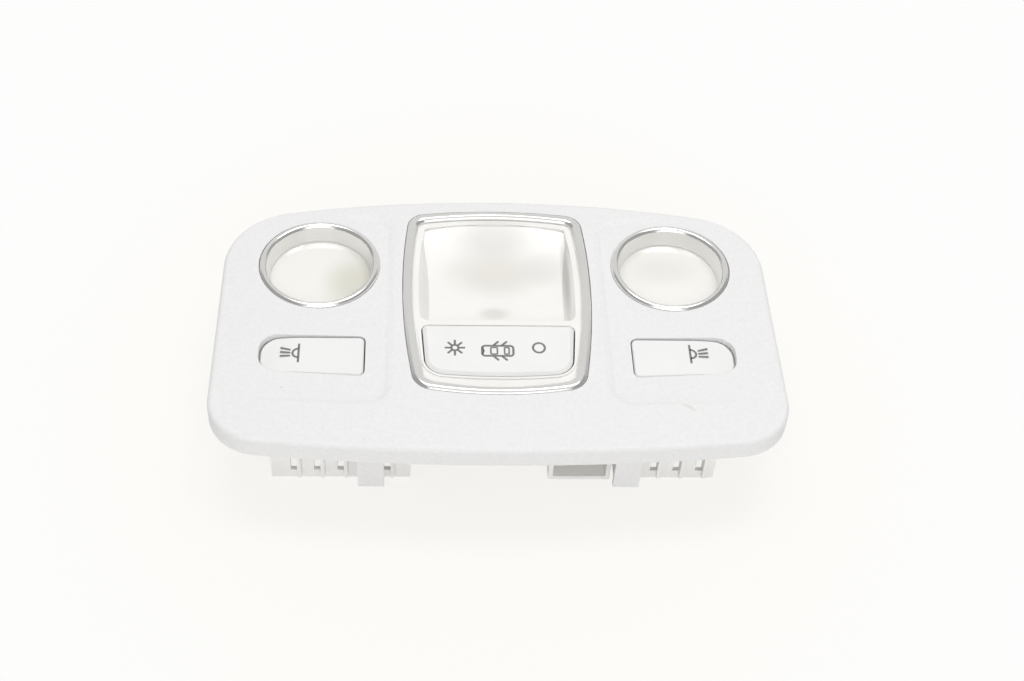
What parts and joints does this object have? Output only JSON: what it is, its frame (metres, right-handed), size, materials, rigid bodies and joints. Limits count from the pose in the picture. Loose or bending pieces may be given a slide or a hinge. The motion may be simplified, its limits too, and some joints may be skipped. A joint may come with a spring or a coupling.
{
  "type": "car interior light",
  "caption": "Overhead car lamp with a rounded bezel, dished dome lens, round map lamps, push buttons and a three-position rocker.",
  "frame": {"origin": "middle of the footprint at the back of the housing, which lies on the table", "axes": "+X along the long side, +Y to the edge above the lenses, +Z out of the lit face"},
  "size_m": [0.2, 0.1226, 0.0388],
  "materials": {
    "bezel_plastic": "fine-grained pale grey moulding",
    "housing_plastic": "white moulding",
    "satin_trim": "satin bright plating",
    "clear_lens": "clear plastic, frosted underneath",
    "reflector": "warm white reflector",
    "switch_caps": "pale grey moulding",
    "steel": "plain steel",
    "switch_body": "natural white moulding",
    "switch_actuator": "natural moulding",
    "brass": "stamped brass",
    "bulb_glass": "clear glass",
    "holder": "dark heat-proof moulding"
  },
  "bodies": {
    "lamp": {"bezel": "bezel_plastic", "lamp_housing": "housing_plastic", "dome_trim_ring": "satin_trim", "dome_lens": "clear_lens", "dome_reflector": "reflector", "rocker_pivot_pin": "steel", "slide_switch_body": "switch_body", "housing_screws": "steel", "connector_terminals": "brass", "feed_strip": "brass", "ground_strip": "brass", "door_signal_strip": "brass", "left_map_trim_ring": "satin_trim", "left_map_lens": "clear_lens", "left_map_reflector": "reflector", "left_push_switch_body": "switch_body", "left_spring_clip": "steel", "right_map_trim_ring": "satin_trim", "right_map_lens": "clear_lens", "right_map_reflector": "reflector", "right_push_switch_body": "switch_body", "right_spring_clip": "steel", "left_map_bulb": "bulb_glass", "left_map_bulb_holder": "holder", "left_map_bulb_contacts": "brass", "dome_bulb": "bulb_glass", "dome_bulb_holder": "holder", "dome_bulb_contacts": "brass", "right_map_bulb": "bulb_glass", "right_map_bulb_holder": "holder", "right_map_bulb_contacts": "brass"},
    "left_button": {"left_map_button": "switch_caps"},
    "left_plunger": {"left_push_switch_plunger": "switch_actuator"},
    "right_button": {"right_map_button": "switch_caps"},
    "right_plunger": {"right_push_switch_plunger": "switch_actuator"},
    "rocker": {"dome_rocker": "switch_caps"},
    "slider": {"slide_switch_slider": "switch_actuator"}
  },
  "joints": [
    {"name": "left_button_press", "type": "hinge", "parent": "lamp", "child": "left_button", "pos_m": [-0.0492, -0.0181, 0.0326], "axis": [0, -1, 0], "range_deg": [0, 4], "stiffness_Nm_per_rad": 0.25, "springref_deg": -4.58},
    {"name": "left_plunger_slide", "type": "slide", "parent": "lamp", "child": "left_plunger", "axis": [0, 0, -1], "range_m": [0, 0.002]},
    {"name": "right_button_press", "type": "hinge", "parent": "lamp", "child": "right_button", "pos_m": [0.0492, -0.0181, 0.0326], "axis": [0, 1, 0], "range_deg": [0, 4], "stiffness_Nm_per_rad": 0.25, "springref_deg": -4.58},
    {"name": "right_plunger_slide", "type": "slide", "parent": "lamp", "child": "right_plunger", "axis": [0, 0, -1], "range_m": [0, 0.002]},
    {"name": "dome_rocker_tilt", "type": "hinge", "parent": "lamp", "child": "rocker", "pos_m": [0, -0.0153, 0.033], "axis": [0, 1, 0], "range_deg": [-5, 5]},
    {"name": "contact_slide", "type": "slide", "parent": "lamp", "child": "slider", "axis": [1, 0, 0], "range_m": [-0.001, 0.001]}
  ],
  "couplings": [
    {"joint": "left_plunger_slide", "follows": "left_button_press", "m_per_rad": 0.0268},
    {"joint": "right_plunger_slide", "follows": "right_button_press", "m_per_rad": 0.0268},
    {"joint": "contact_slide", "follows": "dome_rocker_tilt", "m_per_rad": -0.0102}
  ]
}
